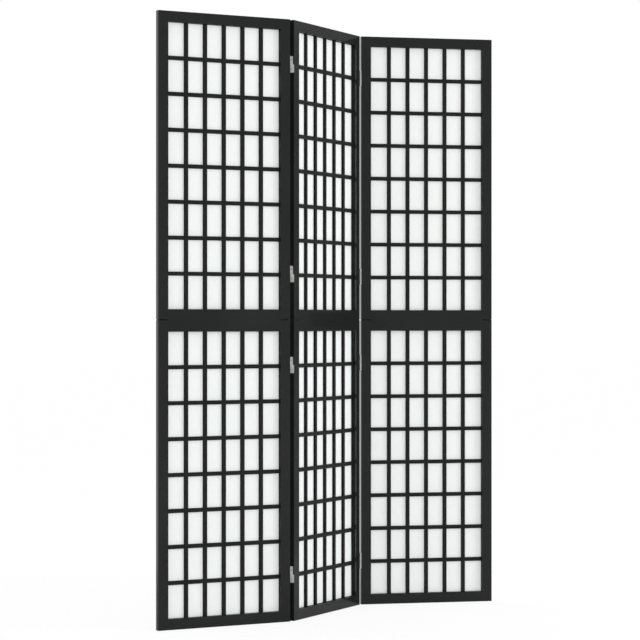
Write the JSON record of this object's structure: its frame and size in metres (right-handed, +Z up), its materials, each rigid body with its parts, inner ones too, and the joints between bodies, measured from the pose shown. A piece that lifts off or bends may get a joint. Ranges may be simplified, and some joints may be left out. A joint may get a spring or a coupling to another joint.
{
  "type": "folding screen",
  "caption": "Free-standing three-leaf folding screen with dark lattice panels over translucent white cloth, joined by small steel hinges.",
  "frame": {"origin": "centre of the middle panel's underside, on the floor", "axes": "+X along the run of the screen from left to right as seen from the front, +Y to the back, +Z up"},
  "size_m": [1.1615, 0.2083, 1.7],
  "materials": {
    "black_satin_frame": "black satin paint on softwood",
    "black_satin_lattice": "black satin paint on thin softwood bars",
    "white_screen_cloth": "translucent white cloth, matt",
    "beech_dowel": "bare beech",
    "plated_hinge_steel": "nickel-plated pressed steel",
    "plated_screw_steel": "zinc-plated steel"
  },
  "bodies": {
    "left_panel": {"left_panel_lower_left_stile": "black_satin_frame", "left_panel_lower_right_stile": "black_satin_frame", "left_panel_lower_lattice_uprights": "black_satin_lattice", "left_panel_lower_lattice_crossbars": "black_satin_lattice", "left_panel_lower_screen_cloth": "white_screen_cloth", "left_panel_lower_cloth_beads": "black_satin_lattice", "left_panel_upper_left_stile": "black_satin_frame", "left_panel_upper_right_stile": "black_satin_frame", "left_panel_upper_lattice_uprights": "black_satin_lattice", "left_panel_upper_lattice_crossbars": "black_satin_lattice", "left_panel_upper_screen_cloth": "white_screen_cloth", "left_panel_upper_cloth_beads": "black_satin_lattice", "left_panel_bottom_rail": "black_satin_frame", "left_panel_middle_rail": "black_satin_frame", "left_panel_top_rail": "black_satin_frame", "left_panel_stile_dowels": "beech_dowel", "left_fold_outer_leaves": "plated_hinge_steel", "left_fold_outer_screws": "plated_screw_steel"},
    "middle_panel": {"middle_panel_lower_left_stile": "black_satin_frame", "middle_panel_lower_right_stile": "black_satin_frame", "middle_panel_lower_lattice_uprights": "black_satin_lattice", "middle_panel_lower_lattice_crossbars": "black_satin_lattice", "middle_panel_lower_screen_cloth": "white_screen_cloth", "middle_panel_lower_cloth_beads": "black_satin_lattice", "middle_panel_upper_left_stile": "black_satin_frame", "middle_panel_upper_right_stile": "black_satin_frame", "middle_panel_upper_lattice_uprights": "black_satin_lattice", "middle_panel_upper_lattice_crossbars": "black_satin_lattice", "middle_panel_upper_screen_cloth": "white_screen_cloth", "middle_panel_upper_cloth_beads": "black_satin_lattice", "middle_panel_bottom_rail": "black_satin_frame", "middle_panel_middle_rail": "black_satin_frame", "middle_panel_top_rail": "black_satin_frame", "middle_panel_stile_dowels": "beech_dowel", "left_fold_middle_leaves": "plated_hinge_steel", "left_fold_middle_screws": "plated_screw_steel", "left_fold_pins": "plated_hinge_steel", "right_fold_middle_leaves": "plated_hinge_steel", "right_fold_middle_screws": "plated_screw_steel", "right_fold_pins": "plated_hinge_steel"},
    "right_panel": {"right_panel_lower_left_stile": "black_satin_frame", "right_panel_lower_right_stile": "black_satin_frame", "right_panel_lower_lattice_uprights": "black_satin_lattice", "right_panel_lower_lattice_crossbars": "black_satin_lattice", "right_panel_lower_screen_cloth": "white_screen_cloth", "right_panel_lower_cloth_beads": "black_satin_lattice", "right_panel_upper_left_stile": "black_satin_frame", "right_panel_upper_right_stile": "black_satin_frame", "right_panel_upper_lattice_uprights": "black_satin_lattice", "right_panel_upper_lattice_crossbars": "black_satin_lattice", "right_panel_upper_screen_cloth": "white_screen_cloth", "right_panel_upper_cloth_beads": "black_satin_lattice", "right_panel_bottom_rail": "black_satin_frame", "right_panel_middle_rail": "black_satin_frame", "right_panel_top_rail": "black_satin_frame", "right_panel_stile_dowels": "beech_dowel", "right_fold_outer_leaves": "plated_hinge_steel", "right_fold_outer_screws": "plated_screw_steel"}
  },
  "joints": [
    {"name": "left_fold", "type": "hinge", "parent": "middle_panel", "child": "left_panel", "pos_m": [-0.18523, -0.0883, 0.85], "axis": [0, 0, -1], "range_deg": [-43, 146]},
    {"name": "right_fold", "type": "hinge", "parent": "middle_panel", "child": "right_panel", "pos_m": [0.18523, 0.0883, 0.85], "axis": [0, 0, -1], "range_deg": [-59, 130]}
  ]
}
